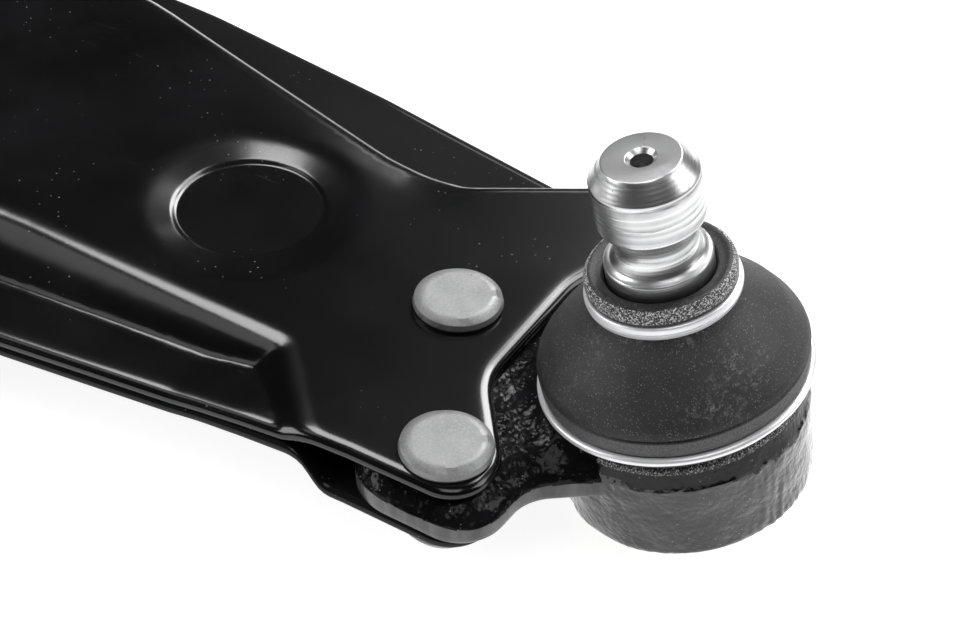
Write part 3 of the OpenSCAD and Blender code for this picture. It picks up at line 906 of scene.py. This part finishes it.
for name, material in (("rear_bush_rubber", BUSH), ("ball_seat", SEAT), ("closing_cap", PLATED)):
    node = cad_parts[name]
    node.data.materials.clear()
    node.data.materials.append(material)

# ---------------------------------------------------------------- welds
ON_TUBE = math.sqrt(TUBE_R ** 2 - DECK_Z ** 2)
ON_EYE = 38.4
bead("front_tube_bead_top", [(x, ON_TUBE + 0.5, DECK_Z + 0.2) for x in np.arange(-20, 20.01, 0.3)],
     lambda p: (0, 0.5, 1), 2.1, ("front_tube_weld",))
bead("front_tube_bead_low", [(x, math.sqrt(TUBE_R ** 2 - 144) + 0.4, -15.0) for x in np.arange(-8, 8.01, 0.3)],
     lambda p: (0, 0.5, -1), 2.0, ())
bead("rear_eye_bead",
     [(REAR_X + ON_EYE * math.cos(a), ON_EYE * math.sin(a), 0) for a in np.radians(np.arange(104, 208, 0.45))],
     lambda p: (p[0] - REAR_X, p[1], 60), 2.1, ("rear_eye_weld",), place=Matrix.Translation((0, 0, 0.0048)))


def seam(name, ring, z, keep, order, node):
    """A bead just outside the part of the ring that keep picks, run in the given order."""
    line = ring - inward(ring)
    line = line[keep(line)]
    path = dense(line[np.argsort(order(line))], 0.35, closed=False)
    bead(name, [(x, y, z) for x, y in path], lambda p: (0, 0, 1), 1.35, (node,))


def in_crotch(p):
    x, y = p[:, 0], p[:, 1]
    by_leg = (x > 12) & (x < 205) & (y < 60) & (y > 24)
    by_eye = (x > 40) & (x < 212) & (y < 60)
    return (inside_by(p, FOLD_RING) < -8) & (by_leg | by_eye)


DECK = BALL_EDGE + [by_ball(-49, -155, 80), (-25, 110, 60), (-22, 8, 0), (22, 8, 0), (30, 66, 30),
                    (110, 34, 90), by_rear(-20, -26, 0)] + FOLD + [by_ball(45.5, -34, 0)]
DECK_RING = anticlockwise(dense(rounded(DECK), 1.0))
seam("front_seam_bead", DECK_RING, FLOOR_Z + 0.2, lambda p: (p[:, 0] < 10) & (p[:, 1] > 36) & (p[:, 1] < 262),
     lambda p: p[:, 1], "front_seam_weld")
seam("crotch_seam_bead", DECK_RING, FLOOR_Z + 0.2, in_crotch, lambda p: p[:, 0] * 1.2 - p[:, 1],
     "crotch_seam_weld")
seam("rear_seam_bead", UPPER_RING, -2.2,
     lambda p: (p[:, 0] > 90) & (p[:, 0] < 206) & (p[:, 1] > 60) & (p[:, 1] < 200)
     & (inside_by(p, FOLD_RING) > 4), lambda p: p[:, 1], "rear_seam_weld")


# ---------------------------------------------------------------- stage, in metres in the row frame
AIM = Vector((0.02, 0.29, 0.01))
CAMERA_AT = Vector((0.3136, 0.4602, 0.2935))
FLOOR_HALF, FLOOR_LEVEL = 6, LOW[2] - 0.0005
CORNERS = ((-1, -1), (1, -1), (1, 1), (-1, 1))


def stage_plane(name, corners, shade, rough, glow=0.0):
    """A plain matt plane that belongs to the stage, giving off light if it has a glow."""
    material = bpy.data.materials.new(name)
    material.use_nodes = True
    main = material.node_tree.nodes["Principled BSDF"]
    main.inputs["Base Color"].default_value = (shade, shade, shade, 1)
    main.inputs["Roughness"].default_value = rough
    main.inputs["Specular IOR Level"].default_value = 0.2
    if glow:
        main.inputs["Emission Color"].default_value = (1, 1, 1, 1)
        main.inputs["Emission Strength"].default_value = glow
    mesh = bpy.data.meshes.new(name)
    mesh.from_pydata(corners, [], [(0, 1, 2, 3)])
    mesh.materials.append(material)
    obj = bpy.data.objects.new(name, mesh)
    bpy.context.scene.collection.objects.link(obj)


stage_plane("floor", [(x * FLOOR_HALF, y * FLOOR_HALF, FLOOR_LEVEL) for x, y in CORNERS], 0.5, 0.8, 0.9)
world = bpy.data.worlds.new("studio")
bpy.context.scene.world = world
world.use_nodes = True
world.node_tree.nodes["Background"].inputs["Color"].default_value = (1, 1, 1, 1)
world.node_tree.nodes["Background"].inputs["Strength"].default_value = 0.03
bpy.context.scene.view_settings.view_transform = "Standard"

right, up = Vector((-0.5223, 0.8522, 0.0298)), Vector((-0.5516, -0.3644, 0.7503))
right.normalize()
up = (up - right * up.dot(right)).normalized()
back = right.cross(up)
camera = bpy.data.objects.new("camera", bpy.data.cameras.new("camera"))
camera.matrix_world = Matrix.Translation(CAMERA_AT) @ Matrix((right, up, back)).transposed().to_4x4()
camera.data.sensor_width = 36
camera.data.lens = 89.86
camera.data.clip_start = 0.01
bpy.context.scene.collection.objects.link(camera)
bpy.context.scene.camera = camera


def toward(azimuth, elevation):
    """The way to something at that azimuth from the view's own right, counted past straight ahead."""
    across = Vector((right.x, right.y, 0)).normalized()
    ahead = Vector((-back.x, -back.y, 0)).normalized()
    a, e = math.radians(azimuth), math.radians(elevation)
    return (across * math.cos(a) + ahead * math.sin(a)) * math.cos(e) + Vector((0, 0, math.sin(e)))


def softbox(name, azimuth, elevation, distance, width, height, power):
    """An area light that faces the ball joint."""
    way = toward(azimuth, elevation)
    light = bpy.data.lights.new(name, "AREA")
    light.shape, light.size, light.size_y, light.energy = "RECTANGLE", width, height, power
    obj = bpy.data.objects.new(name, light)
    obj.location = AIM + way * distance
    obj.rotation_mode = "QUATERNION"
    obj.rotation_quaternion = (-way).to_track_quat("-Z", "Y")
    bpy.context.scene.collection.objects.link(obj)


def card(name, azimuth, elevation, distance, width, height, shade):
    """A dark card for the gloss paint to reflect."""
    way = toward(azimuth, elevation)
    side = way.cross(Vector((0, 0, 1))).normalized()
    rise = side.cross(way).normalized()
    centre = AIM + way * distance
    corners = [tuple(centre + side * i * width / 2 + rise * j * height / 2) for i, j in CORNERS]
    stage_plane(name, corners, shade, 0.9)


# name, azimuth, elevation, distance, width, height, power
for box in (("behind_left", 117, 58, 1.5, 0.44, 0.42, 7),
            ("upper_left", 156, 58, 1.5, 0.4, 0.4, 0.9),
            ("behind_right", 60, 53, 1.5, 0.5, 0.45, 7),
            ("beside_card", 70, 38, 1.45, 0.44, 0.44, 11),
            ("low_right", 78, 27, 1.45, 0.5, 0.16, 0.9),
            ("left", 178, 26, 1.3, 0.7, 0.5, 7),
            ("right", 4, 40, 1.3, 0.8, 0.8, 9),
            ("overhead", 270, 72, 1.6, 0.8, 0.8, 6)):
    softbox(*box)
card("dark_card", 103, 43, 1.7, 1.2, 0.5, 0.004)
